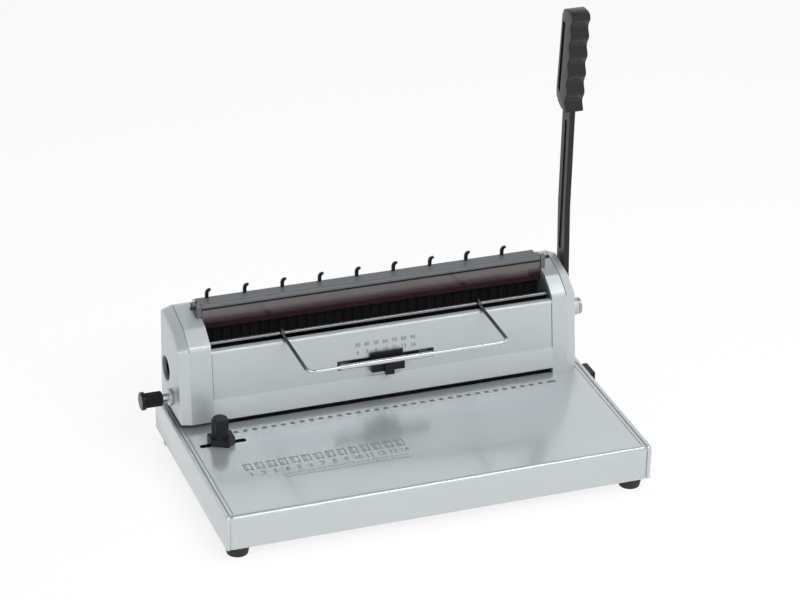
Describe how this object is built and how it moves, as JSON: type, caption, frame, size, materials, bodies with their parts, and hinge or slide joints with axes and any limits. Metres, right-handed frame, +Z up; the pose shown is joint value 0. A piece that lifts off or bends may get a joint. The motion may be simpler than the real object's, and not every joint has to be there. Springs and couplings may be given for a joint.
{
  "type": "wire binding machine",
  "caption": "Desk wire binding machine with a side lever that punches square holes along a page edge and closes wire loops in a toothed channel.",
  "frame": {"origin": "on the floor, at the middle of the whole machine in width and depth", "axes": "+X to the right along the punch line, +Y to the back, +Z up; the lever stands upright at rest"},
  "size_m": [0.4116, 0.212, 0.365],
  "materials": {
    "silver_paint": "glossy silver-grey enamel",
    "dark_steel": "satin black",
    "tool_steel": "ground steel",
    "bright_steel": "bright plated",
    "fastener": "zinc plated",
    "bronze": "sintered bronze",
    "rail_grey": "satin mid grey",
    "black_plastic": "satin black",
    "foot_rubber": "matte black",
    "smoked_acrylic": "clear smoked brown"
  },
  "bodies": {
    "frame": {"base_shell": "silver_paint", "base_bottom_plate": "dark_steel", "rubber_feet": "foot_rubber", "foot_screws": "fastener", "tray_rails": "tool_steel", "die_plate": "tool_steel", "guide_plate": "tool_steel", "side_plate_left": "dark_steel", "side_plate_right": "dark_steel", "tie_bar": "tool_steel", "frame_screws": "fastener", "head_screws": "fastener", "guide_posts": "bright_steel", "shaft_bushes": "bronze", "front_panel": "silver_paint", "rear_cover": "silver_paint", "rear_screws": "fastener", "left_end_cap": "silver_paint", "right_end_cap": "silver_paint", "cap_screws": "fastener", "cap_plug": "black_plastic", "closing_bed": "dark_steel", "front_rod": "bright_steel", "hook_rail": "rail_grey", "wire_hooks": "dark_steel", "flap_pin": "bright_steel", "selector_bezel": "black_plastic", "margin_collar": "bright_steel"},
    "lever": {"main_shaft": "tool_steel", "drive_pinions": "tool_steel", "shaft_collar": "tool_steel", "lever_washer": "bright_steel", "lever_arm": "dark_steel", "lever_hub": "dark_steel", "hub_bolt": "fastener", "lever_grip": "black_plastic", "grip_screws": "fastener"},
    "punch": {"punch_beam": "tool_steel", "punch_pins": "bright_steel", "pin_clamp_bar": "tool_steel", "clamp_screws": "fastener", "punch_racks": "tool_steel", "return_springs": "bright_steel"},
    "closer": {"closing_jaw": "dark_steel", "closing_carriage": "tool_steel", "closing_racks": "tool_steel"},
    "selector": {"selector_knob": "black_plastic", "stepped_plate": "tool_steel"},
    "margin_stop": {"margin_knob": "black_plastic", "margin_shaft": "bright_steel"},
    "edge_guide": {"edge_guide_block": "black_plastic", "guide_clamp_plate": "tool_steel"},
    "clamp_knob": {"guide_knob": "black_plastic"},
    "flap": {"smoked_flap": "smoked_acrylic"},
    "bail": {"wire_bail": "bright_steel"},
    "tray": {"chip_tray": "dark_steel", "tray_pull": "black_plastic"}
  },
  "joints": [
    {"name": "lever_pull", "type": "hinge", "parent": "frame", "child": "lever", "pos_m": [0, 0.088, 0.078], "axis": [1, 0, 0], "range_deg": [0, 70]},
    {"name": "punch_slide", "type": "slide", "parent": "frame", "child": "punch", "axis": [0, 0, -1], "range_m": [0, 0.00987], "stiffness_N_per_m": 1200, "springref_m": -0.02, "deforming": ["return_springs"]},
    {"name": "closing_slide", "type": "slide", "parent": "frame", "child": "closer", "axis": [0, -1, 0], "range_m": [0, 0.00987]},
    {"name": "selector_slide", "type": "slide", "parent": "frame", "child": "selector", "axis": [1, 0, 0], "range_m": [-0.036, 0.036]},
    {"name": "margin_turn", "type": "hinge", "parent": "frame", "child": "margin_stop", "pos_m": [0, 0.072, 0.0585], "axis": [1, 0, 0], "range_deg": [-8, 12]},
    {"name": "guide_slide", "type": "slide", "parent": "frame", "child": "edge_guide", "axis": [1, 0, 0], "range_m": [-0.014, 0.019]},
    {"name": "clamp_knob_turn", "type": "hinge", "parent": "edge_guide", "child": "clamp_knob", "pos_m": [-0.1533, 0.011, 0.055], "axis": [0, 0, 1], "range_deg": [-180, 180]},
    {"name": "flap_flip", "type": "hinge", "parent": "frame", "child": "flap", "pos_m": [0, 0.0805, 0.136], "axis": [-1, 0, 0], "range_deg": [0, 95]},
    {"name": "bail_swing", "type": "hinge", "parent": "frame", "child": "bail", "pos_m": [0, 0.06, 0.1109], "axis": [-1, 0, 0], "range_deg": [0, 85]},
    {"name": "tray_slide", "type": "slide", "parent": "frame", "child": "tray", "axis": [1, 0, 0], "range_m": [0, 0.28]}
  ],
  "couplings": [
    {"joint": "punch_slide", "follows": "lever_pull", "m_per_rad": 0.008},
    {"joint": "closing_slide", "follows": "lever_pull", "m_per_rad": 0.008}
  ]
}
